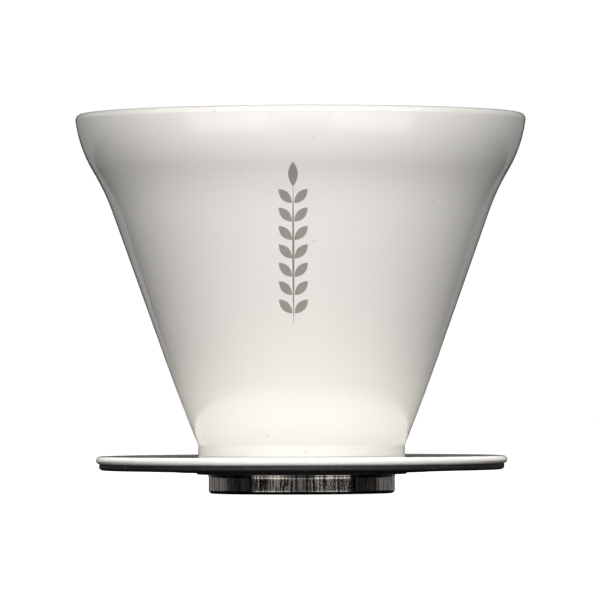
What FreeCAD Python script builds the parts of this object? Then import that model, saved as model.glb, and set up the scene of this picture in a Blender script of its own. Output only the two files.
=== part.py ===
"""Double-walled pour-over coffee dripper, in millimetres.

+Z is up and runs along the dripper's axis. The origin is the centre of the spigot's foot, on the surface
that the dripper stands on. Each piece is one solid and goes to its own STEP file in parts/.
"""
import FreeCAD
import Part
import math
import os

# ---- driving dimensions -------------------------------------------------------------------------------

# lip: the shell's outer half and the cone's inner half meet on the crest
MOUTH_R = 60.0
HEIGHT = 101.1
LIP_ROUND_R = 1.6
LIP_CENTRE_R = MOUTH_R - LIP_ROUND_R

# outer shell, from the lip down: shoulder, waist, straight cone, root and neck, all tangent
SHELL_T = 0.6
SHOULDER_TOP_ANGLE = 7.3
SHOULDER_END_ANGLE = 30.8
SHOULDER_R = 34.8
WAIST_R = 62.5
OUTER_CONE_ANGLE = 19.55
OUTER_CONE_RUN = 40.9
ROOT_R = 548.0
NECK_CORNER_R = 1.2
NECK_R = 27.55
NECK_END_Z = 10.0

# inner cone: 60 degrees included, with a round throat
CONE_T = 0.6
INNER_CONE_ANGLE = 30.0
THROAT_R = 10.0
THROAT_ROUND_R = 4.0
THROAT_END_Z = 12.0

# spiral ribs on the inner cone
RIB_COUNT = 12
RIB_TWIST = 58.0
RIB_WIDTH = 2.0
RIB_FOOT_Z = 27.0
RIB_TOP_Z = 88.0
RIB_FOOT_RISE = 1.5
RIB_TOP_RISE = 0.8
RIB_ROOT = 0.25

# spigot: a flange welded in the neck, the seat for the plate and pad, the free end and a foot curled in
SPIGOT_T = 0.8
SPIGOT_RIM_Z = 12.4
FLANGE_ROUND_R = 1.0
FLANGE_ROOT_R = 0.4
SEAT_R = 25.0
SPIGOT_R = 24.8
SPIGOT_TOP_Z = 4.0
TAPER_BEND_R = 2.6
FOOT_ROUND_R = 1.0
FOOT_LAND = 1.2

# floor pan: closes the spigot, stands on the curled foot, and is welded in by its upturned rim
PAN_T = 0.8
PAN_Z = 2.5
PAN_RIM_Z = 4.0
PAN_CORNER_R = 1.0

# outlet tube, from over the throat to just short of the foot
TUBE_T = 0.6
TUBE_TOP_Z = 16.0
TUBE_END_Z = 1.0

# copper heat shield wrapped on the inner cone
SHIELD_T = 0.2
SHIELD_LOW_Z = 30.0
SHIELD_HIGH_Z = 92.0

# getter pellet and its strap, on the floor pan inside the vacuum
PAN_PITCH_R = 16.4
GETTER_R = 3.5
GETTER_H = 2.0
STRAP_W = 3.0
STRAP_T = 0.3
STRAP_FOOT = 2.5

# evacuation port, its solder bead and its cover
PORT_R = 1.2
BEAD_R = 2.2
BEAD_H = 0.6
COVER_R = 4.2
COVER_DROP = 1.1
COVER_T = 0.3

# base plate: a flat sheet with a full round bead on its edge
PLATE_R = 54.8
PLATE_BEAD_R = 1.05
PLATE_T = 1.0
PLATE_BORE_ROUND_R = 0.6

# silicone pad: fills the plate's underside, with flat grip lands that step down to a gripping lip
PAD_R = 54.0
PAD_EDGE_R = 0.5
PAD_LANDS = ((44.6, 53.3, 6.25), (34.8, 43.6, 6.0), (28.9, 33.8, 5.65))
PAD_LIP_R = 28.0
PAD_LIP_Z = 5.1
PAD_GROOVE_Z = 6.7

# clearances between the pieces that come apart
SEAT_GAP = 0.02
BORE_GAP = 0.06
PAD_GAP = 0.05


# ---- outlines and solids ------------------------------------------------------------------------------

class Outline:
    """A tangent run of lines and arcs in the half plane (radius, z), with a parallel copy at any offset.

    Headings are in degrees, counterclockwise from +radius. An offset is to the left of the run.
    """

    def __init__(self, radius, z, heading, offset=0.0):
        self.heading = heading
        self.offset = offset
        left = math.radians(heading + 90)
        self.at = (radius + offset * math.cos(left), z + offset * math.sin(left))
        self.start = self.at
        self.edges = []

    def line(self, length):
        turn = math.radians(self.heading)
        end = (self.at[0] + length * math.cos(turn), self.at[1] + length * math.sin(turn))
        self.edges.append(segment(self.at, end))
        self.at = end
        return self

    def arc(self, radius, turn):
        """A left turn where turn is positive, else a right turn, of this radius on the unshifted run."""
        side = 1 if turn > 0 else -1
        radius = radius - side * self.offset
        to_centre = math.radians(self.heading + 90 * side)
        centre = (self.at[0] + radius * math.cos(to_centre), self.at[1] + radius * math.sin(to_centre))

        def on_arc(part):
            angle = to_centre + math.pi + math.radians(turn * part)
            return (centre[0] + radius * math.cos(angle), centre[1] + radius * math.sin(angle))

        end = on_arc(1.0)
        self.edges.append(Part.Arc(point(self.at), point(on_arc(0.5)), point(end)).toShape())
        self.at = end
        self.heading += turn
        return self


def point(spot):
    return FreeCAD.Vector(spot[0], 0, spot[1])


def segment(start, end):
    return Part.LineSegment(point(start), point(end)).toShape()


def turned(edges):
    """The solid that a closed outline sweeps in a full turn about the axis."""
    wire = Part.Wire(Part.__sortEdges__(edges))
    return Part.Face(wire).revolve(FreeCAD.Vector(0, 0, 0), FreeCAD.Vector(0, 0, 1), 360)


def turned_sheet(draw, thickness):
    """A sheet of one thickness: draw(offset) gives the outline of the face that is offset to the left."""
    near = draw(0.0)
    far = draw(thickness)
    ends = [segment(near.start, far.start), segment(near.at, far.at)]
    return turned(near.edges + far.edges + ends)


def turned_polygon(corners):
    return turned([segment(a, b) for a, b in zip(corners, corners[1:] + corners[:1])])


def disc(radius, low_z, high_z, spot=(0, 0)):
    return Part.makeCylinder(radius, high_z - low_z, FreeCAD.Vector(spot[0], spot[1], low_z))


def cosine(degrees):
    return math.cos(math.radians(degrees))


def sine(degrees):
    return math.sin(math.radians(degrees))


def tangent(degrees):
    return math.tan(math.radians(degrees))


# ---- dripper body -------------------------------------------------------------------------------------

def shell_outline(offset):
    """The shell's outer face, from the crest down to the neck's end."""
    run = Outline(LIP_CENTRE_R, HEIGHT, 0, offset)
    run.arc(LIP_ROUND_R, -90 - SHOULDER_TOP_ANGLE)
    run.arc(SHOULDER_R, SHOULDER_TOP_ANGLE - SHOULDER_END_ANGLE)
    run.arc(WAIST_R, SHOULDER_END_ANGLE - OUTER_CONE_ANGLE)
    run.line(OUTER_CONE_RUN)
    root_angle = shell_root_angle()
    run.arc(ROOT_R, OUTER_CONE_ANGLE - root_angle)
    run.arc(NECK_CORNER_R, root_angle)
    run.line(run.at[1] - NECK_END_Z)
    return run


def shell_root_angle():
    """The root's slope where it meets the neck, so that the run ends at the neck's radius."""
    run = Outline(LIP_CENTRE_R, HEIGHT, 0)
    run.arc(LIP_ROUND_R, -90 - SHOULDER_TOP_ANGLE)
    run.arc(SHOULDER_R, SHOULDER_TOP_ANGLE - SHOULDER_END_ANGLE)
    run.arc(WAIST_R, SHOULDER_END_ANGLE - OUTER_CONE_ANGLE)
    run.line(OUTER_CONE_RUN)
    reach = NECK_R + NECK_CORNER_R - run.at[0] + ROOT_R * cosine(OUTER_CONE_ANGLE)
    return math.degrees(math.acos(reach / (ROOT_R + NECK_CORNER_R)))


def outer_shell():
    return turned_sheet(shell_outline, -SHELL_T)


def cone_wall_point(z):
    """A point of the inner cone's inside face at this height."""
    top_r = LIP_CENTRE_R - LIP_ROUND_R * cosine(INNER_CONE_ANGLE)
    top_z = HEIGHT - LIP_ROUND_R + LIP_ROUND_R * sine(INNER_CONE_ANGLE)
    return (top_r - (top_z - z) * tangent(INNER_CONE_ANGLE), z)


def cone_outline(offset):
    """The inner cone's inside face, from the crest down to the throat's end."""
    run = Outline(LIP_CENTRE_R, HEIGHT, 180, offset)
    run.arc(LIP_ROUND_R, 90 - INNER_CONE_ANGLE)
    throat_round = THROAT_ROUND_R * (1 - cosine(INNER_CONE_ANGLE))
    wall_top_r = LIP_CENTRE_R - LIP_ROUND_R * cosine(INNER_CONE_ANGLE)
    run.line((wall_top_r - throat_round - THROAT_R) / sine(INNER_CONE_ANGLE))
    run.arc(THROAT_ROUND_R, INNER_CONE_ANGLE)
    run.line(run.at[1] - THROAT_END_Z)
    return run


def spiral_rib():
    """One rib: a slab that crosses the cone aslant, kept to a thin wedge on the cone's inside face."""
    foot_r, foot_z = cone_wall_point(RIB_FOOT_Z)
    top_r, top_z = cone_wall_point(RIB_TOP_Z)
    wedge = turned_polygon([
        (foot_r + RIB_ROOT, foot_z),
        (top_r + RIB_ROOT, top_z),
        (top_r - RIB_TOP_RISE, top_z),
        (foot_r - RIB_FOOT_RISE, foot_z),
    ])
    foot = FreeCAD.Vector(foot_r, 0, foot_z)
    top = FreeCAD.Vector(top_r * cosine(RIB_TWIST), top_r * sine(RIB_TWIST), top_z)
    along = (top - foot).normalize()
    middle = (foot + top) * 0.5
    outward = FreeCAD.Vector(middle.x, middle.y, 0).normalize()
    across = along.cross(outward).normalize()
    out = across.cross(along).normalize()
    reach = top_r * 0.5
    slab = Part.makeBox(top.distanceToPoint(foot) + reach, RIB_WIDTH, 2 * reach)
    slab.translate(FreeCAD.Vector(0, -RIB_WIDTH / 2, -reach))
    slab.transformShape(FreeCAD.Matrix(
        along.x, across.x, -out.x, foot.x,
        along.y, across.y, -out.y, foot.y,
        along.z, across.z, -out.z, foot.z,
        0, 0, 0, 1))
    return wedge.common(slab)


def inner_cone():
    cone = turned_sheet(cone_outline, CONE_T)
    rib = spiral_rib()
    ribs = []
    for index in range(RIB_COUNT):
        copy = rib.copy()
        copy.rotate(FreeCAD.Vector(0, 0, 0), FreeCAD.Vector(0, 0, 1), 360 / RIB_COUNT * index)
        ribs.append(copy)
    return cone.fuse(ribs).removeSplitter()


def outlet_tube():
    bore = THROAT_R + CONE_T
    return turned_polygon([
        (bore, TUBE_TOP_Z),
        (bore, TUBE_END_Z),
        (bore + TUBE_T, TUBE_END_Z),
        (bore + TUBE_T, TUBE_TOP_Z),
    ])


def spigot_outline(offset):
    """The spigot's outer face, from its rim inside the neck down and round to the end of its curled foot."""
    rim_r = NECK_R - SHELL_T
    run = Outline(rim_r, SPIGOT_RIM_Z, -90, offset)
    run.line(SPIGOT_RIM_Z - NECK_END_Z - FLANGE_ROUND_R)
    run.arc(FLANGE_ROUND_R, -90)
    run.line(rim_r - SEAT_R - FLANGE_ROUND_R - FLANGE_ROOT_R)
    run.arc(FLANGE_ROOT_R, 90)
    bend = math.degrees(math.acos(1 - (SEAT_R - SPIGOT_R) / (2 * TAPER_BEND_R)))
    taper_h = 2 * TAPER_BEND_R * sine(bend)
    run.line(NECK_END_Z - FLANGE_ROOT_R - SPIGOT_TOP_Z - taper_h)
    run.arc(TAPER_BEND_R, -bend)
    run.arc(TAPER_BEND_R, bend)
    run.line(SPIGOT_TOP_Z - FOOT_ROUND_R)
    run.arc(FOOT_ROUND_R, -90)
    run.line(FOOT_LAND)
    run.arc(FOOT_ROUND_R, -90)
    run.line(PAN_Z - FOOT_ROUND_R)
    return run


def spigot():
    return turned_sheet(spigot_outline, -SPIGOT_T)


def pan_outline(offset):
    """The floor pan's outer face, from its rim down and in to the outlet tube."""
    run = Outline(SPIGOT_R - SPIGOT_T, PAN_RIM_Z, -90, offset)
    run.line(PAN_RIM_Z - PAN_Z - PAN_CORNER_R)
    run.arc(PAN_CORNER_R, -90)
    run.line(run.at[0] - THROAT_R - CONE_T - TUBE_T)
    return run


def port_spot():
    return (0, -PAN_PITCH_R)


def floor_pan():
    pan = turned_sheet(pan_outline, -PAN_T)
    return pan.cut(disc(PORT_R, PAN_Z - PAN_T, PAN_Z + 2 * PAN_T, port_spot()))


def copper_shield():
    """A frustum wrapped on the cone's outside face."""
    step = CONE_T / cosine(INNER_CONE_ANGLE)
    wrap = SHIELD_T / cosine(INNER_CONE_ANGLE)
    low_r = cone_wall_point(SHIELD_LOW_Z)[0] + step
    high_r = cone_wall_point(SHIELD_HIGH_Z)[0] + step
    return turned_polygon([
        (low_r, SHIELD_LOW_Z),
        (high_r, SHIELD_HIGH_Z),
        (high_r + wrap, SHIELD_HIGH_Z),
        (low_r + wrap, SHIELD_LOW_Z),
    ])


def getter_pellet():
    floor = PAN_Z + PAN_T
    return disc(GETTER_R, floor, floor + GETTER_H, (0, PAN_PITCH_R))


def getter_strap():
    """A thin hat-shaped strap over the pellet, spot-welded to the floor at both feet."""
    floor = PAN_Z + PAN_T
    half = GETTER_R
    crown = floor + GETTER_H
    corners = [
        (-half - STRAP_T - STRAP_FOOT, floor),
        (-half, floor),
        (-half, crown),
        (half, crown),
        (half, floor),
        (half + STRAP_T + STRAP_FOOT, floor),
        (half + STRAP_T + STRAP_FOOT, floor + STRAP_T),
        (half + STRAP_T, floor + STRAP_T),
        (half + STRAP_T, crown + STRAP_T),
        (-half - STRAP_T, crown + STRAP_T),
        (-half - STRAP_T, floor + STRAP_T),
        (-half - STRAP_T - STRAP_FOOT, floor + STRAP_T),
    ]
    edges = [segment(a, b) for a, b in zip(corners, corners[1:] + corners[:1])]
    strap = Part.Face(Part.Wire(edges)).extrude(FreeCAD.Vector(0, STRAP_W, 0))
    strap.translate(FreeCAD.Vector(0, PAN_PITCH_R - STRAP_W / 2, 0))
    return strap


def port_bead():
    """Solder that fills the evacuation port, with a low domed head under the floor."""
    x, y = port_spot()
    dome_r = (BEAD_R ** 2 + BEAD_H ** 2) / (2 * BEAD_H)
    ball = Part.makeSphere(dome_r, FreeCAD.Vector(x, y, PAN_Z - BEAD_H + dome_r))
    head = ball.common(disc(BEAD_R + 1, PAN_Z - BEAD_H - 1, PAN_Z, (x, y)))
    return head.fuse(disc(PORT_R, PAN_Z, PAN_Z + PAN_T, (x, y)))


def port_cover():
    """A shallow pressed cap over the bead, open towards the floor."""
    spot = port_spot()
    cap = disc(COVER_R, PAN_Z - COVER_DROP, PAN_Z, spot)
    cap = cap.makeFillet(COVER_T * 2, [lowest_edge(cap)])
    return cap.cut(disc(COVER_R - COVER_T, PAN_Z - COVER_DROP + COVER_T, PAN_Z, spot))


def lowest_edge(solid):
    return min(solid.Edges, key=lambda edge: edge.CenterOfMass.z)


# ---- pieces that come off -----------------------------------------------------------------------------

def base_plate():
    """A flat sheet with a full round bead on its edge, and a rounded edge where it meets the neck."""
    top = NECK_END_Z - SEAT_GAP
    bead_centre_r = PLATE_R - PLATE_BEAD_R
    bore = SEAT_R + BORE_GAP
    underside = top - PLATE_T
    past_side = math.degrees(math.asin((PLATE_BEAD_R - PLATE_T) / PLATE_BEAD_R))
    run = Outline(bore, top - PLATE_BORE_ROUND_R, 90)
    run.arc(PLATE_BORE_ROUND_R, -90)
    run.line(bead_centre_r - run.at[0])
    run.arc(PLATE_BEAD_R, -270 - past_side)
    bore_foot = (bore, underside)
    return turned(run.edges + [segment(run.at, bore_foot), segment(bore_foot, run.start)])


def silicone_pad():
    """A disc whose raised field fits inside the plate's bead, with flat lands and a lip underneath."""
    plate_top = NECK_END_Z - SEAT_GAP
    field_z = plate_top - PLATE_T - PAD_GAP
    flange_z = plate_top - 2 * PLATE_BEAD_R - PAD_GAP
    field_r = PLATE_R - 2 * PLATE_BEAD_R - 4 * PAD_GAP
    bore = SEAT_R + BORE_GAP
    corners = [
        (bore, field_z),
        (field_r, field_z),
        (field_r, flange_z),
        (PAD_R, flange_z),
        (PAD_R, PAD_LANDS[0][2] + PAD_EDGE_R),
        (PAD_LANDS[0][1], PAD_LANDS[0][2]),
    ]
    for land, following in zip(PAD_LANDS, PAD_LANDS[1:] + ((0, PAD_LIP_R, PAD_LIP_Z),)):
        corners.append((land[0], land[2]))
        corners.append((land[0], PAD_GROOVE_Z))
        corners.append((following[1], PAD_GROOVE_Z))
        corners.append((following[1], following[2]))
    corners.append((bore, PAD_LIP_Z))
    return turned_polygon(corners)


# ---- export -------------------------------------------------------------------------------------------

PIECES = {
    "outer_shell": outer_shell,
    "inner_cone": inner_cone,
    "outlet_tube": outlet_tube,
    "spigot": spigot,
    "floor_pan": floor_pan,
    "copper_shield": copper_shield,
    "getter_pellet": getter_pellet,
    "getter_strap": getter_strap,
    "port_bead": port_bead,
    "port_cover": port_cover,
    "base_plate": base_plate,
    "silicone_pad": silicone_pad,
}


def main():
    os.makedirs("parts", exist_ok=True)
    for name, make in PIECES.items():
        shape = make()
        solids = shape.Solids
        if len(solids) != 1 or not solids[0].isValid():
            raise ValueError(f"{name} is {len(solids)} solids, or not a valid one")
        solids[0].exportStep(f"parts/{name}.step")
        box = solids[0].optimalBoundingBox()
        print(f"{name:14s} {solids[0].Volume:9.1f} mm3  r {box.XMax:6.2f}  z {box.ZMin:6.2f} to {box.ZMax:6.2f}")


main()
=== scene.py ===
"""The looks of a double-walled pour-over coffee dripper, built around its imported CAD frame."""
import math

import bpy
import numpy as np
from mathutils import Matrix, Vector


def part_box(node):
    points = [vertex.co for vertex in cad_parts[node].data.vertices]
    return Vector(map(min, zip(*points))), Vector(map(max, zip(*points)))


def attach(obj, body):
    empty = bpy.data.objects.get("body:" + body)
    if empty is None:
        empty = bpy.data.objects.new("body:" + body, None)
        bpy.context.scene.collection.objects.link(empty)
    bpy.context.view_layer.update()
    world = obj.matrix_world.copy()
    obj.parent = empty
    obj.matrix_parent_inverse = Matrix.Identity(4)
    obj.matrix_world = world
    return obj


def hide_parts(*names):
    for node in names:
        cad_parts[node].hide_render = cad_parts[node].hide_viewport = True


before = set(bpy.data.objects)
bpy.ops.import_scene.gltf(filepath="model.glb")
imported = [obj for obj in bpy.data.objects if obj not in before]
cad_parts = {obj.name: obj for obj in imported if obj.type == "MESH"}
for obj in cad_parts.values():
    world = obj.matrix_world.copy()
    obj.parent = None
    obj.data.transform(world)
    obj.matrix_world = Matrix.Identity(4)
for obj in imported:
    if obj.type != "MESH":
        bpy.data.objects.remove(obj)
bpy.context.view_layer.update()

MM = 0.001

# ---- the dripper's own measures, in metres ------------------------------------------------------------

SHELL_LOW, SHELL_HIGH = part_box("outer_shell")
MOUTH_R = SHELL_HIGH.x
CREST_Z = SHELL_HIGH.z
NECK_END_Z = SHELL_LOW.z
LIP_ROUND_R = 1.6 * MM
LIP_CENTRE_R = MOUTH_R - LIP_ROUND_R

SHELL_T = 0.6 * MM
SHOULDER_TOP_ANGLE = 7.3
SHOULDER_END_ANGLE = 30.8
SHOULDER_R = 34.8 * MM
WAIST_R = 62.5 * MM
OUTER_CONE_ANGLE = 19.55
OUTER_CONE_RUN = 40.9 * MM
ROOT_R = 548 * MM
NECK_CORNER_R = 1.2 * MM
SPIGOT_RIM_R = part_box("spigot")[1].x
SPIGOT_RIM_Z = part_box("spigot")[1].z
NECK_R = SPIGOT_RIM_R + SHELL_T

CONE_T = 0.6 * MM
INNER_CONE_ANGLE = 30.0
INNER_CONE_SLOPE = math.radians(INNER_CONE_ANGLE)
CONE_TOP_R = LIP_CENTRE_R - LIP_ROUND_R * math.cos(INNER_CONE_SLOPE)
CONE_TOP_Z = CREST_Z - LIP_ROUND_R + LIP_ROUND_R * math.sin(INNER_CONE_SLOPE)
THROAT_ROUND_R = 4.0 * MM
TUBE_LOW, TUBE_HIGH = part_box("outlet_tube")
TUBE_T = 0.6 * MM
TUBE_END_ROUND_R = 0.25 * MM
THROAT_R = TUBE_HIGH.x - TUBE_T - CONE_T
THROAT_END_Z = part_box("inner_cone")[0].z

RIB_COUNT = 12
RIB_TWIST = math.radians(58)
RIB_HALF_WIDTH = 1.15 * MM
RIB_FOOT_Z = 27 * MM
RIB_TOP_Z = 88 * MM
RIB_FOOT_RISE = 1.5 * MM
RIB_TOP_RISE = 0.8 * MM
RIB_END_RUN = 2.5 * MM
RIB_EDGE_AT = 1.35  # in half widths
RIB_FAR_SIDE_AT = 0.6  # in the radius at the rib's top

SPIGOT_T = 0.8 * MM
FLANGE_ROUND_R = 1.0 * MM
FLANGE_ROOT_R = 0.4 * MM
SEAT_R = 25.0 * MM
SPIGOT_R = 24.8 * MM
SPIGOT_TOP_Z = 4.0 * MM
TAPER_BEND_R = 2.6 * MM
FOOT_ROUND_R = 1.0 * MM
FOOT_LAND = 1.2 * MM
PAN_LOW, PAN_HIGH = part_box("floor_pan")
PAN_T = 0.8 * MM
PAN_CORNER_R = 1.0 * MM

PLATE_LOW, PLATE_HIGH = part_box("base_plate")
PLATE_BEAD_R = (PLATE_HIGH.z - PLATE_LOW.z) / 2
PLATE_T = 1.0 * MM
PLATE_BORE_R = 25.06 * MM
PLATE_BORE_ROUND_R = 0.6 * MM

PAD_LOW, PAD_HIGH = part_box("silicone_pad")
PAD_FLANGE_Z = PLATE_LOW.z - 0.05 * MM
PAD_FIELD_R = PLATE_HIGH.x - 2 * PLATE_BEAD_R - 0.2 * MM
PAD_EDGE_Z = 6.75 * MM
PAD_LANDS = ((44.6, 53.3, 6.25), (34.8, 43.6, 6.0), (28.9, 33.8, 5.65))  # inner r, outer r, z, in mm
PAD_LIP_R = 28.0 * MM
PAD_GROOVE_Z = 6.7 * MM
PAD_SOFT_R = 0.22 * MM

COVER_LOW, COVER_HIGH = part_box("port_cover")
COVER_T = 0.3 * MM
COVER_CORNER_R = 0.6 * MM
COVER_PIN_R = 0.05 * MM

SPRIG_X = -2.0 * MM
SPRIG_LOW_Z, SPRIG_HIGH_Z = 44.3 * MM, 86.5 * MM
SPRIG_FIRST_LEAF_RISE = 3.2 * MM
SPRIG_TOP_RUN = 9 * MM
LEAF_PAIRS = 7
LEAF_START_OUT, LEAF_END_OUT = 0.35 * MM, 3.75 * MM
LEAF_RISE = 3.6 * MM
LEAF_HALF_WIDTH = 1.15 * MM
TIP_LEAF_LENGTH, TIP_LEAF_HALF_WIDTH = 6.2 * MM, 1.25 * MM
STEM_END_BELOW, STEM_HALF_WIDTH = 5.6 * MM, 0.3 * MM
SPRIG_PROUD, SPRIG_SUNK = 0.03 * MM, -0.05 * MM

# ---- steps round the axis -----------------------------------------------------------------------------

WIDE_STEPS = 720
BODY_STEPS = 512
PAN_STEPS = 256
TUBE_STEPS = 192
CAP_STEPS = 96

# ---- meshes -------------------------------------------------------------------------------------------


class Outline:
    """A tangent run of lines and arcs in the half plane (radius, z), sampled as it goes.

    A heading is in degrees, counterclockwise from +radius. An offset shifts the whole run to its left.
    """

    def __init__(self, radius, z, heading, offset=0.0):
        self.heading = heading
        self.offset = offset
        left = math.radians(heading + 90)
        start = np.array([radius + offset * math.cos(left), z + offset * math.sin(left)])
        self.spots = [start[None, :]]

    @property
    def at(self):
        """The run's last point."""
        return self.spots[-1][-1]

    def line(self, length, steps=8):
        """Points along the heading, closer together at both ends: (1 - cos(pi t)) / 2 of the length."""
        share = (1 - np.cos(np.pi * np.linspace(0, 1, steps + 1)[1:])) / 2
        heading = math.radians(self.heading)
        way = np.array([math.cos(heading), math.sin(heading)])
        self.spots.append(self.at + length * share[:, None] * way)
        return self

    def arc(self, radius, turn, steps=12):
        """Points round a centre one radius to the left, or to the right where turn is negative."""
        side = 1 if turn > 0 else -1
        radius = radius - side * self.offset
        to_centre = math.radians(self.heading + 90 * side)
        centre = self.at + radius * np.array([math.cos(to_centre), math.sin(to_centre)])
        share = np.linspace(0, 1, steps + 1)[1:]
        angles = to_centre + math.pi + math.radians(turn) * share
        self.spots.append(centre + radius * np.stack([np.cos(angles), np.sin(angles)], 1))
        self.heading += turn
        return self

    def points(self):
        return np.concatenate(self.spots)


def grid_faces(rows, columns, wrap_rows, wrap_columns):
    """Corner numbers of the quads of a rows x columns grid, wrapping round where asked."""
    row = np.arange(rows if wrap_rows else rows - 1)
    column = np.arange(columns if wrap_columns else columns - 1)
    i, j = np.meshgrid(row, column, indexing="ij")
    next_i = (i + 1) % rows
    next_j = (j + 1) % columns
    corners = [i * columns + j, next_i * columns + j, next_i * columns + next_j, i * columns + next_j]
    return np.stack(corners, -1).reshape(-1, 4)


def mesh_piece(name, spots, faces, body, material, replaced=()):
    """A smooth mesh object of these points and quads, riding on a body and standing for CAD nodes."""
    data = bpy.data.meshes.new(name)
    data.vertices.add(len(spots))
    data.vertices.foreach_set("co", np.ascontiguousarray(spots, np.float32).ravel())
    data.loops.add(faces.size)
    data.loops.foreach_set("vertex_index", faces.ravel().astype(np.int32))
    data.polygons.add(len(faces))
    data.polygons.foreach_set("loop_start", np.arange(len(faces), dtype=np.int32) * 4)
    data.polygons.foreach_set("use_smooth", np.ones(len(faces), bool))
    data.update(calc_edges=True)
    data.validate()
    piece = bpy.data.objects.new(name, data)
    bpy.context.scene.collection.objects.link(piece)
    data.materials.append(material)
    if body:
        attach(piece, body)
    if replaced:
        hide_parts(*replaced)
    return piece


def turns(steps):
    """Angles once round the axis, as a column."""
    return np.linspace(0, 2 * np.pi, steps, endpoint=False)[:, None]


def around(outline, steps):
    """Points (radius cos a, radius sin a, z) of an outline carried once round the axis."""
    angle = turns(steps)
    radius, z = outline[None, :, 0], outline[None, :, 1]
    return np.stack([radius * np.cos(angle), radius * np.sin(angle), z + 0 * angle], -1)


def counterclockwise(outline):
    """The outline in the order whose enclosed area is positive, which makes the faces point outwards."""
    r, z = outline.T
    area = np.sum(r * np.roll(z, -1) - np.roll(r, -1) * z)
    return outline if area > 0 else outline[::-1]


def turned(name, outline, steps, body, material, replaced=(), centre=(0, 0)):
    """A closed ring of this outline, turned about a vertical axis through the centre."""
    outline = counterclockwise(outline)
    spots = around(outline, steps) + np.array([centre[0], centre[1], 0])
    faces = grid_faces(steps, len(outline), True, True)
    return mesh_piece(name, spots.reshape(-1, 3), faces, body, material, replaced)


def sheet_outline(draw, thickness):
    """A closed outline of a sheet: draw(offset) out along one face and back along the other."""
    return np.concatenate([draw(0.0), draw(thickness)[::-1]])


# ---- shader expressions -------------------------------------------------------------------------------


class Wave:
    """A socket in a Python expression on values. Each operator adds a Math node."""

    def __init__(self, book, socket):
        self.book = book
        self.socket = socket

    def math(self, operation, *others):
        return self.book.node("ShaderNodeMath", {"operation": operation}, self, *others)

    def __add__(self, other):
        return self.math("ADD", other)

    def __radd__(self, other):
        return self.math("ADD", other)

    def __mul__(self, other):
        return self.math("MULTIPLY", other)

    def __rmul__(self, other):
        return self.math("MULTIPLY", other)

    def ramp(self, low, high, to_low=0.0, to_high=1.0):
        """This value carried smoothly from low..high to to_low..to_high, and clamped there."""
        settings = {"interpolation_type": "SMOOTHSTEP"}
        return self.book.node("ShaderNodeMapRange", settings, self, low, high, to_low, to_high)


class Finish:
    """A material whose nodes are added by calls. Its shader is the Principled BSDF."""

    def __init__(self, name, **constants):
        self.material = bpy.data.materials.new(name)
        self.material.use_nodes = True
        self.tree = self.material.node_tree
        self.shader = next(n for n in self.tree.nodes if n.type == "BSDF_PRINCIPLED")
        for socket, value in constants.items():
            self.set(socket.replace("_", " "), value)

    def feed(self, socket, value):
        if isinstance(value, Wave):
            self.tree.links.new(value.socket, socket)
        else:
            socket.default_value = value

    def set(self, socket, value):
        self.feed(self.shader.inputs[socket], value)

    def node(self, kind, settings=None, *values, output=0, **named):
        """A node of this kind: its settings first, then its sockets in order, then sockets by name."""
        made = self.tree.nodes.new(kind)
        for key, value in (settings or {}).items():
            setattr(made, key, value)
        for socket, value in zip(made.inputs, values):
            if value is not None:
                self.feed(socket, value)
        for key, value in named.items():
            self.feed(made.inputs[key], value)
        return Wave(self, made.outputs[output])

    def place(self):
        """The piece's own coordinates, in metres."""
        return self.node("ShaderNodeTexCoord", output=3)

    def axes(self):
        """The piece's own x, y and z."""
        split = self.tree.nodes.new("ShaderNodeSeparateXYZ")
        self.tree.links.new(self.place().socket, split.inputs[0])
        return [Wave(self, out) for out in split.outputs]

    def vector(self, x, y, z):
        return self.node("ShaderNodeCombineXYZ", None, x, y, z)

    def noise(self, where, scale, detail=2.0, roughness=0.5):
        named = {"Vector": where, "Scale": scale, "Detail": detail, "Roughness": roughness}
        return self.node("ShaderNodeTexNoise", None, **named)

    def mix(self, share, one, other):
        """A colour between one and the other."""
        made = self.tree.nodes.new("ShaderNodeMix")
        made.data_type = "RGBA"
        for key, value in (("Factor_Float", share), ("A_Color", one), ("B_Color", other)):
            self.feed(next(s for s in made.inputs if s.identifier == key), value)
        return Wave(self, next(s for s in made.outputs if s.identifier == "Result_Color"))

    def bump(self, height, strength, distance):
        named = {"Strength": strength, "Distance": distance, "Height": height}
        self.set("Normal", self.node("ShaderNodeBump", None, **named))


# ---- finishes -----------------------------------------------------------------------------------------


def white_coat():
    """Gloss white coat: warm, with a faint orange peel, rare pinholes and a drift in tone and gloss."""
    book = Finish("white_gloss_coat", IOR=1.5)
    where = book.place()
    drift = book.noise(where, 18.0, 3.0)
    pinhole = book.noise(where, 420.0, 1.0).ramp(0.785, 0.8)
    warm = book.mix(drift, (0.806, 0.784, 0.744, 1), (0.793, 0.77, 0.73, 1))
    book.set("Base Color", book.mix(pinhole * 0.35, warm, (0.5, 0.48, 0.45, 1)))
    book.set("Roughness", 0.02 + drift * 0.02)
    peel = book.noise(where, 260.0, 1.5)
    book.bump(peel, 0.03, 0.01 * MM)
    return book.material


def spun_angle(book):
    """The angle round the dripper's axis, in radians, and the height."""
    x, y, z = book.axes()
    return x.math("ARCTAN2", y), z


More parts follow.
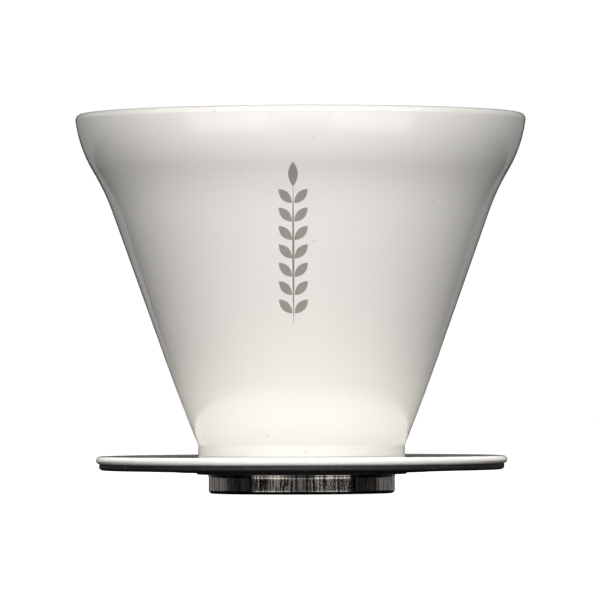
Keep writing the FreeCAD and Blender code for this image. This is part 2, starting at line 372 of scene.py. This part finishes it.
def brushed_steel():
    """Dark brushed steel: streaks along the axis, each with its own tone and gloss, broken by grain."""
    book = Finish("brushed_steel", Metallic=1.0, Anisotropic=0.6, Anisotropic_Rotation=0.25)
    angle, z = spun_angle(book)
    fine = book.noise(book.vector(angle * 48.0, 0.0, z * 110.0), 1.0, 3.0, 0.7)
    grain = book.noise(book.vector(angle * 110.0, 2.0, z * 2600.0), 1.0, 2.0)
    broad = book.noise(book.vector(angle * 9.0, 4.0, z * 20.0), 1.0, 2.0)
    streak = (fine * 0.66 + grain * 0.16 + broad * 0.18).ramp(0.42, 0.58)
    book.set("Base Color", book.mix(streak, (0.09, 0.08, 0.073, 1), (0.6, 0.56, 0.52, 1)))
    book.set("Roughness", 0.1 + streak * 0.14)
    book.bump(fine, 0.3, 0.03 * MM)
    return book.material


def plain_steel():
    """Drawn stainless steel: faint lines round the axis and a little mottle."""
    book = Finish("plain_steel", Metallic=1.0)
    angle, z = spun_angle(book)
    rings = book.noise(book.vector(angle * 0.8, 0.0, z * 6000.0), 1.0, 2.0)
    mottle = book.noise(book.place(), 160.0, 3.0)
    book.set("Base Color", book.mix(mottle, (0.5, 0.49, 0.47, 1), (0.62, 0.61, 0.59, 1)))
    book.set("Roughness", 0.24 + rings * 0.14)
    book.bump(rings, 0.15, 0.01 * MM)
    return book.material


def black_silicone():
    """Matte black silicone: fine moulded grain, slightly blue, with specks of lint."""
    book = Finish("black_silicone", IOR=1.42)
    where = book.place()
    grain = book.noise(where, 2600.0, 3.0, 0.6)
    lint = book.noise(where, 1500.0, 0.0).ramp(0.78, 0.8)
    mottle = book.noise(where, 90.0, 2.0)
    tone = book.mix(mottle, (0.0075, 0.0075, 0.0085, 1), (0.014, 0.014, 0.017, 1))
    book.set("Base Color", book.mix(lint * 0.5, tone, (0.2, 0.2, 0.21, 1)))
    book.set("Roughness", 0.5 + grain * 0.2)
    book.bump(grain, 0.3, 0.02 * MM)
    return book.material


def etched_steel():
    """Taupe laser-etched steel: matte, with a fine even stipple."""
    book = Finish("etched_mark", Metallic=0.35)
    stipple = book.noise(book.place(), 3200.0, 2.0)
    book.set("Base Color", book.mix(stipple, (0.36, 0.325, 0.295, 1), (0.45, 0.41, 0.375, 1)))
    book.set("Roughness", 0.42 + stipple * 0.15)
    return book.material


def copper_foil():
    """Bright copper foil with faint creases."""
    book = Finish("copper_foil", Metallic=1.0)
    crease = book.noise(book.place(), 140.0, 4.0, 0.65)
    book.set("Base Color", book.mix(crease, (0.72, 0.36, 0.22, 1), (0.9, 0.52, 0.36, 1)))
    book.set("Roughness", 0.2 + crease * 0.2)
    book.bump(crease, 0.4, 0.2 * MM)
    return book.material


def sintered_grey(name, dark, light):
    """A dull grainy metal, for the getter and the solder."""
    book = Finish(name, Metallic=0.7)
    grain = book.noise(book.place(), 2400.0, 4.0, 0.7)
    book.set("Base Color", book.mix(grain, dark, light))
    book.set("Roughness", 0.5 + grain * 0.3)
    book.bump(grain, 0.5, 0.03 * MM)
    return book.material


# ---- outlines -----------------------------------------------------------------------------------------


def shell_run(offset):
    """The shell's face down to where the root begins: lip, shoulder, waist and straight cone."""
    run = Outline(LIP_CENTRE_R, CREST_Z, 0, offset)
    run.arc(LIP_ROUND_R, -90 - SHOULDER_TOP_ANGLE, 20)
    run.arc(SHOULDER_R, SHOULDER_TOP_ANGLE - SHOULDER_END_ANGLE, 36)
    run.arc(WAIST_R, SHOULDER_END_ANGLE - OUTER_CONE_ANGLE, 24)
    run.line(OUTER_CONE_RUN, 12)
    return run


def root_angle():
    """The slope where the root meets the neck's corner, which makes the run end at the neck's radius."""
    start_r = shell_run(0.0).at[0]
    reach = NECK_R + NECK_CORNER_R - start_r + ROOT_R * math.cos(math.radians(OUTER_CONE_ANGLE))
    return math.degrees(math.acos(reach / (ROOT_R + NECK_CORNER_R)))


def shell_face(offset):
    """The shell's face: lip, shoulder, waist, straight cone, root, corner and neck, all tangent."""
    run = shell_run(offset)
    slope = root_angle()
    run.arc(ROOT_R, OUTER_CONE_ANGLE - slope, 8)
    run.arc(NECK_CORNER_R, slope, 10)
    run.line(run.at[1] - NECK_END_Z, 6)
    return run.points()


def cone_face(offset):
    """The filter cone's face: the lip's inner half, the straight cone, the throat's round and the throat.

    The face inside the cone gets more steps, because it carries the ribs.
    """
    carries_ribs = offset == 0.0
    run = Outline(LIP_CENTRE_R, CREST_Z, 180, offset)
    run.arc(LIP_ROUND_R, 90 - INNER_CONE_ANGLE, 14)
    round_in = THROAT_ROUND_R * (1 - math.cos(INNER_CONE_SLOPE))
    run.line((CONE_TOP_R - round_in - THROAT_R) / math.sin(INNER_CONE_SLOPE), 96 if carries_ribs else 4)
    run.arc(THROAT_ROUND_R, INNER_CONE_ANGLE, 8)
    run.line(run.at[1] - THROAT_END_Z, 4)
    return run.points()


def spigot_face(offset):
    """The spigot's outer face: rim, flange, seat, slight taper, free end, foot, and the curl inside it."""
    run = Outline(SPIGOT_RIM_R, SPIGOT_RIM_Z, -90, offset)
    run.line(SPIGOT_RIM_Z - NECK_END_Z - FLANGE_ROUND_R, 4)
    run.arc(FLANGE_ROUND_R, -90, 8)
    run.line(SPIGOT_RIM_R - SEAT_R - FLANGE_ROUND_R - FLANGE_ROOT_R, 3)
    run.arc(FLANGE_ROOT_R, 90, 8)
    bend = math.degrees(math.acos(1 - (SEAT_R - SPIGOT_R) / (2 * TAPER_BEND_R)))
    taper = 2 * TAPER_BEND_R * math.sin(math.radians(bend))
    run.line(NECK_END_Z - FLANGE_ROOT_R - SPIGOT_TOP_Z - taper, 6)
    run.arc(TAPER_BEND_R, -bend, 8)
    run.arc(TAPER_BEND_R, bend, 8)
    run.line(SPIGOT_TOP_Z - FOOT_ROUND_R, 8)
    run.arc(FOOT_ROUND_R, -90, 16)
    run.line(FOOT_LAND, 4)
    run.arc(FOOT_ROUND_R, -90, 16)
    run.line(PAN_LOW.z - FOOT_ROUND_R, 3)
    return run.points()


def pan_face(offset):
    """The floor pan's outer face: rim, corner and flat floor, in to the outlet tube."""
    run = Outline(PAN_HIGH.x, PAN_HIGH.z, -90, offset)
    run.line(PAN_HIGH.z - PAN_LOW.z - PAN_CORNER_R, 3)
    run.arc(PAN_CORNER_R, -90, 10)
    run.line(run.at[0] - THROAT_R - CONE_T - TUBE_T, 10)
    return run.points()


def plate_outline():
    """The saucer plate's section: rounded bore edge, flat top, full round bead, flat underside."""
    past_side = math.degrees(math.asin((PLATE_BEAD_R - PLATE_T) / PLATE_BEAD_R))
    run = Outline(PLATE_BORE_R, PLATE_HIGH.z - PLATE_BORE_ROUND_R, 90)
    run.arc(PLATE_BORE_ROUND_R, -90, 10)
    run.line(PLATE_HIGH.x - PLATE_BEAD_R - run.at[0], 16)
    run.arc(PLATE_BEAD_R, -270 - past_side, 48)
    under = Outline(run.at[0], PLATE_HIGH.z - PLATE_T, 180)
    under.line(run.at[0] - PLATE_BORE_R, 12)
    return np.concatenate([run.points(), under.points()[1:]])


def softened(corners, radius, steps=5):
    """A closed outline with each corner rounded by a curve that is tangent to both of its sides.

    Each corner point gives (1-t)^2 a + 2t(1-t) corner + t^2 b between the points a and b, which lie one
    radius before and after it, or 0.4 of the shorter side.
    """
    corners = np.array(corners)
    before = np.roll(corners, 1, 0) - corners
    after = np.roll(corners, -1, 0) - corners
    length_before = np.linalg.norm(before, axis=1, keepdims=True)
    length_after = np.linalg.norm(after, axis=1, keepdims=True)
    reach = np.minimum(radius, 0.4 * np.minimum(length_before, length_after))
    start = (corners + before / length_before * reach)[:, None, :]
    end = (corners + after / length_after * reach)[:, None, :]
    t = np.linspace(0, 1, steps + 1)[None, :, None]
    blend = (1 - t) ** 2 * start + 2 * t * (1 - t) * corners[:, None, :] + t ** 2 * end
    return blend.reshape(-1, 2)


def pad_outline():
    """The silicone pad's section: raised field, flange, three flat lands with grooves, and the lip."""
    lands = [(a * MM, b * MM, z * MM) for a, b, z in PAD_LANDS]
    corners = [
        (PLATE_BORE_R, PAD_HIGH.z),
        (PAD_FIELD_R, PAD_HIGH.z),
        (PAD_FIELD_R, PAD_FLANGE_Z),
        (PAD_HIGH.x, PAD_FLANGE_Z),
        (PAD_HIGH.x, PAD_EDGE_Z),
        (lands[0][1], lands[0][2]),
    ]
    for land, following in zip(lands, lands[1:] + [(0, PAD_LIP_R, PAD_LOW.z)]):
        corners.append((land[0], land[2]))
        corners.append((land[0], PAD_GROOVE_Z))
        corners.append((following[1], PAD_GROOVE_Z))
        corners.append((following[1], following[2]))
    corners.append((PLATE_BORE_R, PAD_LOW.z))
    return softened(corners, PAD_SOFT_R)


# ---- pieces -------------------------------------------------------------------------------------------


def make_shell(material):
    """The drawn outer shell, as a sheet."""
    outline = sheet_outline(shell_face, -SHELL_T)
    turned("shell", outline, BODY_STEPS, "dripper", material, ["outer_shell"])


def wall_radius(z):
    """The radius of the cone's inside face at this height."""
    return CONE_TOP_R - (CONE_TOP_Z - z) * math.tan(INNER_CONE_SLOPE)


def rib_rise(spots):
    """How far the cone's inside face stands in at each point, for all the ribs.

    A rib follows the plane through its foot and its top, so its height is a rounded step of the distance
    from that plane, on the near side of the cone only, and runs out at both ends.
    """
    foot = np.array([wall_radius(RIB_FOOT_Z), 0, RIB_FOOT_Z])
    top_r = wall_radius(RIB_TOP_Z)
    top = np.array([top_r * math.cos(RIB_TWIST), top_r * math.sin(RIB_TWIST), RIB_TOP_Z])
    along = (top - foot) / np.linalg.norm(top - foot)
    middle = (foot + top) / 2
    outward = np.array([middle[0], middle[1], 0]) / np.hypot(middle[0], middle[1])
    across = np.cross(along, outward)
    across /= np.linalg.norm(across)
    z = spots[..., 2]
    height = np.interp(z, [RIB_FOOT_Z, RIB_TOP_Z], [RIB_FOOT_RISE, RIB_TOP_RISE])
    ends = np.clip(np.minimum(z - RIB_FOOT_Z, RIB_TOP_Z - z) / RIB_END_RUN, 0, 1)
    ends = ends * ends * (3 - 2 * ends)
    rise = np.zeros(z.shape)
    for index in range(RIB_COUNT):
        turn = -2 * math.pi * index / RIB_COUNT
        x = spots[..., 0] * math.cos(turn) - spots[..., 1] * math.sin(turn)
        y = spots[..., 0] * math.sin(turn) + spots[..., 1] * math.cos(turn)
        own = np.stack([x, y, z], -1)
        gap = np.abs((own - foot) @ across) / RIB_HALF_WIDTH
        side = np.clip(RIB_EDGE_AT - gap, 0, 1)
        profile = side * side * (3 - 2 * side)
        near = (own - middle) @ outward > -top_r * RIB_FAR_SIDE_AT
        started = (own - foot) @ along > 0
        rise = np.maximum(rise, profile * near * started)
    return rise * height * ends


def make_cone(material):
    """The filter cone, its inside face pushed in along its normal by the ribs' rise."""
    inside = cone_face(0.0)
    outline = counterclockwise(sheet_outline(cone_face, CONE_T))
    faces_in = np.arange(len(outline)) < len(inside)
    if not np.allclose(outline[0], inside[0]):
        faces_in = faces_in[::-1]
    spots = around(outline, WIDE_STEPS)
    angle = turns(WIDE_STEPS)
    level, up = math.cos(INNER_CONE_SLOPE), math.sin(INNER_CONE_SLOPE)
    inward = np.stack([-np.cos(angle) * level, -np.sin(angle) * level, 0 * angle + up], -1)
    spots = spots + (rib_rise(spots) * faces_in)[..., None] * inward
    faces = grid_faces(WIDE_STEPS, len(outline), True, True)
    mesh_piece("filter_cone", spots.reshape(-1, 3), faces, "dripper", material,
               ["inner_cone"])


def make_tube(material):
    """The outlet tube, with rounded ends."""
    corners = [
        (THROAT_R + CONE_T, TUBE_HIGH.z),
        (THROAT_R + CONE_T, TUBE_LOW.z),
        (TUBE_HIGH.x, TUBE_LOW.z),
        (TUBE_HIGH.x, TUBE_HIGH.z),
    ]
    outline = softened(corners, TUBE_END_ROUND_R, 8)
    turned("drip_tube", outline, TUBE_STEPS, "dripper", material, ["outlet_tube"])


def make_spigot(material):
    """The steel ring under the neck, as a sheet."""
    outline = sheet_outline(spigot_face, -SPIGOT_T)
    turned("spigot_ring", outline, BODY_STEPS, "dripper", material, ["spigot"])


def make_pan(material):
    """The floor that closes the ring round the outlet tube, as a sheet."""
    outline = sheet_outline(pan_face, -PAN_T)
    turned("spigot_floor", outline, PAN_STEPS, "dripper", material, ["floor_pan"])


def make_plate(material):
    """The saucer plate."""
    outline = plate_outline()
    return turned("saucer_plate", outline, WIDE_STEPS, "saucer", material, ["base_plate"])


def make_pad(material):
    """The silicone pad under the plate."""
    outline = pad_outline()
    turned("grip_pad", outline, WIDE_STEPS, "pad", material, ["silicone_pad"])


def wrap(flat, radius):
    """Flat (x, z) points wrapped round the front: the angle from the front is x over the radius."""
    angle = flat[:, 0] / radius
    return np.stack([radius * np.sin(angle), -radius * np.cos(angle), flat[:, 1]], -1)


def leaf(base, tip, half_width, steps=20, steps_out=4):
    """A leaf blade as a grid: from base to tip, half_width sin(pi t)^0.8 to either side, for t in 0..1."""
    t = np.linspace(0, 1, steps + 1)[:, None]
    v = np.linspace(-1, 1, 2 * steps_out + 1)[None, :]
    base, tip = np.array(base), np.array(tip)
    way = (tip - base) / np.linalg.norm(tip - base)
    side = np.array([-way[1], way[0]])
    spread = half_width * np.sin(np.pi * t) ** 0.8 * v
    return base + (tip - base) * t[..., None] + spread[..., None] * side


def sprig_blades():
    """The flat sprig: paired leaves up the stem, a leaf at the tip, and the stem as a thin leaf."""
    pitch = (SPRIG_HIGH_Z - SPRIG_LOW_Z - SPRIG_TOP_RUN) / LEAF_PAIRS
    blades = []
    for index in range(LEAF_PAIRS):
        z = SPRIG_LOW_Z + SPRIG_FIRST_LEAF_RISE + pitch * index
        for side in (-1, 1):
            start = (SPRIG_X + side * LEAF_START_OUT, z)
            end = (SPRIG_X + side * LEAF_END_OUT, z + LEAF_RISE)
            blades.append(leaf(start, end, LEAF_HALF_WIDTH))
    tip = (SPRIG_X, SPRIG_HIGH_Z)
    blades.append(leaf((SPRIG_X, SPRIG_HIGH_Z - TIP_LEAF_LENGTH), tip, TIP_LEAF_HALF_WIDTH))
    stem_end = (SPRIG_X, SPRIG_HIGH_Z - STEM_END_BELOW)
    blades.append(leaf((SPRIG_X, SPRIG_LOW_Z), stem_end, STEM_HALF_WIDTH, 40, 1))
    return blades


def make_mark(material):
    """A plain leaf sprig etched on the front, laid on the straight cone.

    Each blade is there twice, just proud of the shell's face and just inside it, so that its back is
    hidden in the shell.
    """
    face = shell_face(0.0)
    spots, faces, count = [], [], 0
    for blade in sprig_blades():
        rows, columns = blade.shape[:2]
        flat = blade.reshape(-1, 2)
        radius = np.interp(-flat[:, 1], -face[:, 1], face[:, 0])
        for lift, flip in ((SPRIG_PROUD, False), (SPRIG_SUNK, True)):
            spots.append(wrap(flat, radius + lift))
            quads = grid_faces(rows, columns, False, False) + count
            faces.append(quads[:, ::-1] if flip else quads)
            count += rows * columns
    mesh_piece("etched_sprig", np.concatenate(spots), np.concatenate(faces), "dripper",
               material)


def cover_face(inset):
    """The cap's face from its middle out: flat, corner and rim, this far inside the outer face."""
    radius = (COVER_HIGH.x - COVER_LOW.x) / 2
    run = Outline(COVER_PIN_R, COVER_LOW.z + inset, 0)
    run.line(radius - COVER_PIN_R - COVER_CORNER_R, 6)
    run.arc(COVER_CORNER_R - inset, 90, 10)
    run.line(COVER_HIGH.z - COVER_LOW.z - COVER_CORNER_R, 3)
    return run.points()


def make_cover(material):
    """The pressed cap over the evacuation port."""
    centre = ((COVER_LOW.x + COVER_HIGH.x) / 2, (COVER_LOW.y + COVER_HIGH.y) / 2)
    outline = sheet_outline(cover_face, COVER_T)
    turned("port_cap", outline, CAP_STEPS, "dripper", material, ["port_cover"], centre)


def finish_hidden_nodes(steel):
    """The pieces sealed in the vacuum keep their CAD meshes and get their own finishes."""
    solder = sintered_grey("solder", (0.5, 0.48, 0.42, 1), (0.66, 0.64, 0.58, 1))
    getter = sintered_grey("getter_alloy", (0.12, 0.12, 0.125, 1), (0.24, 0.24, 0.25, 1))
    finishes = {
        "copper_shield": copper_foil(),
        "getter_pellet": getter,
        "getter_strap": steel,
        "port_bead": solder,
    }
    for node, material in finishes.items():
        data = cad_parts[node].data
        data.materials.clear()
        data.materials.append(material)


# ---- stage --------------------------------------------------------------------------------------------

OBJECT_MIDDLE = Vector((0, 0, 50 * MM))
LIGHT_DISTANCE = 1.3

FLOOR_HALF_SIDE = 6.0
FLOOR_LINES = 13
WALL_R = 5.0
WALL_HEIGHT = 5.0
WALL_LINES = 6
WALL_STEPS = 96
GLOW = 1.0
WORLD_STRENGTH = 0.001

FILM_WIDTH = 36
LENS_LENGTH = 393.9
CAMERA_SPOT = Vector((0, -1.75, 28.7 * MM))
CAMERA_AIM = Vector((-0.3 * MM, 0, 51.5 * MM))
CAMERA_ROLL = math.radians(-0.2)
CAMERA_REACH = 50

WHITE = (1, 1, 1, 1)


def pale_floor():
    """A matte white sheet with an even glow and a trace of tone."""
    book = Finish("pale_floor", Roughness=0.6)
    tone = book.noise(book.place(), 3.0, 2.0)
    book.set("Base Color", book.mix(tone, (0.93, 0.93, 0.93, 1), (0.95, 0.95, 0.95, 1)))
    book.set("Emission Color", WHITE)
    book.set("Emission Strength", GLOW)
    return book.material


def hide_from_light(piece):
    """Leaves a piece to the camera alone: it neither lights nor shades the object."""
    piece.visible_glossy = False
    piece.visible_diffuse = False
    piece.visible_shadow = False


def make_floor():
    """A flat square sheet as a coarse grid."""
    side = np.linspace(-FLOOR_HALF_SIDE, FLOOR_HALF_SIDE, FLOOR_LINES)
    x, y = np.meshgrid(side, side, indexing="ij")
    spots = np.stack([x, y, 0 * x], -1).reshape(-1, 3)
    faces = grid_faces(FLOOR_LINES, FLOOR_LINES, False, False)
    floor = mesh_piece("floor", spots, faces, None, pale_floor())
    hide_from_light(floor)


def make_backdrop():
    """A round upright wall: the line r = WALL_R, z from 0 to WALL_HEIGHT, carried round the axis."""
    heights = np.linspace(0, WALL_HEIGHT, WALL_LINES)
    upright = np.stack([np.full(WALL_LINES, WALL_R), heights], -1)
    spots = around(upright, WALL_STEPS).reshape(-1, 3)
    faces = grid_faces(WALL_STEPS, WALL_LINES, True, False)[:, ::-1]
    backdrop = mesh_piece("backdrop", spots, faces, None, pale_floor())
    hide_from_light(backdrop)


def around_object(azimuth, elevation):
    """A spot at the lights' distance: azimuth from the front towards +X, and elevation, in degrees."""
    azimuth, elevation = math.radians(azimuth), math.radians(elevation)
    level = math.cos(elevation)
    way = Vector((level * math.sin(azimuth), -level * math.cos(azimuth), math.sin(elevation)))
    return OBJECT_MIDDLE + LIGHT_DISTANCE * way


def softbox(name, spot, size, watts):
    """A rectangular area light at the spot, facing the object."""
    data = bpy.data.lights.new(name, "AREA")
    data.shape = "RECTANGLE"
    data.size, data.size_y = size
    data.energy = watts
    light = bpy.data.objects.new(name, data)
    bpy.context.scene.collection.objects.link(light)
    light.location = spot
    light.rotation_euler = (OBJECT_MIDDLE - spot).to_track_quat("-Z", "Y").to_euler()
    return light


def shine_only_on(light, piece):
    """Keeps a light to one piece."""
    reached = bpy.data.collections.new("reached_by_" + light.name)
    reached.objects.link(piece)
    light.light_linking.receiver_collection = reached


def make_lights(plate):
    """Soft banks, in watts: most light comes from the front and above, and the sides fall off.

    The low banks make the band under the lip and the ring's streaks shine. The plate banks reach only the
    plate, whose lit top shows in the lower cone, and leave the inside of the filter cone as it is.
    """
    softbox("front_bank", around_object(0, 28), (0.95, 0.3), 15.5)
    softbox("low_bank", around_object(0, -13), (0.95, 0.3), 0.6)
    softbox("top_bank", around_object(0, 89), (0.9, 0.6), 1.5)
    for side in (-1, 1):
        softbox("side_bank", around_object(side * 40, 28), (0.95, 0.3), 2.5)
        softbox("level_bank", around_object(side * 40, 12), (0.95, 0.3), 0.7)
        softbox("low_side_bank", around_object(side * 38, -17), (1.0, 0.35), 1.9)
        softbox("far_bank", around_object(side * 90, 0), (0.95, 0.6), 0.08)
        shine_only_on(softbox("plate_bank", around_object(side * 135, 60), (0.75, 0.45), 21), plate)
        softbox("rear_bank", around_object(side * 135, 8), (1.4, 0.8), 0.95)


def make_world(strength):
    """An even white surrounding light."""
    world = bpy.data.worlds.new("studio")
    bpy.context.scene.world = world
    world.use_nodes = True
    background = world.node_tree.nodes["Background"]
    background.inputs["Color"].default_value = WHITE
    background.inputs["Strength"].default_value = strength


def make_camera():
    """A long lens, a little above the table, level with the saucer."""
    data = bpy.data.cameras.new("camera")
    data.sensor_width = FILM_WIDTH
    data.lens = LENS_LENGTH
    data.clip_end = CAMERA_REACH
    camera = bpy.data.objects.new("camera", data)
    bpy.context.scene.collection.objects.link(camera)
    turn = (CAMERA_AIM - CAMERA_SPOT).to_track_quat("-Z", "Y").to_matrix().to_4x4()
    roll = Matrix.Rotation(CAMERA_ROLL, 4, "Z")
    camera.matrix_world = Matrix.Translation(CAMERA_SPOT) @ turn @ roll
    bpy.context.scene.camera = camera


def main():
    """All pieces, then the stage, lights and camera."""
    coat, steel = white_coat(), plain_steel()
    make_shell(coat)
    make_cone(coat)
    make_tube(steel)
    make_spigot(brushed_steel())
    make_pan(steel)
    plate = make_plate(coat)
    make_pad(black_silicone())
    make_mark(etched_steel())
    make_cover(steel)
    finish_hidden_nodes(steel)
    make_floor()
    make_backdrop()
    make_lights(plate)
    make_world(WORLD_STRENGTH)
    make_camera()
    bpy.context.scene.view_settings.view_transform = "Standard"


main()
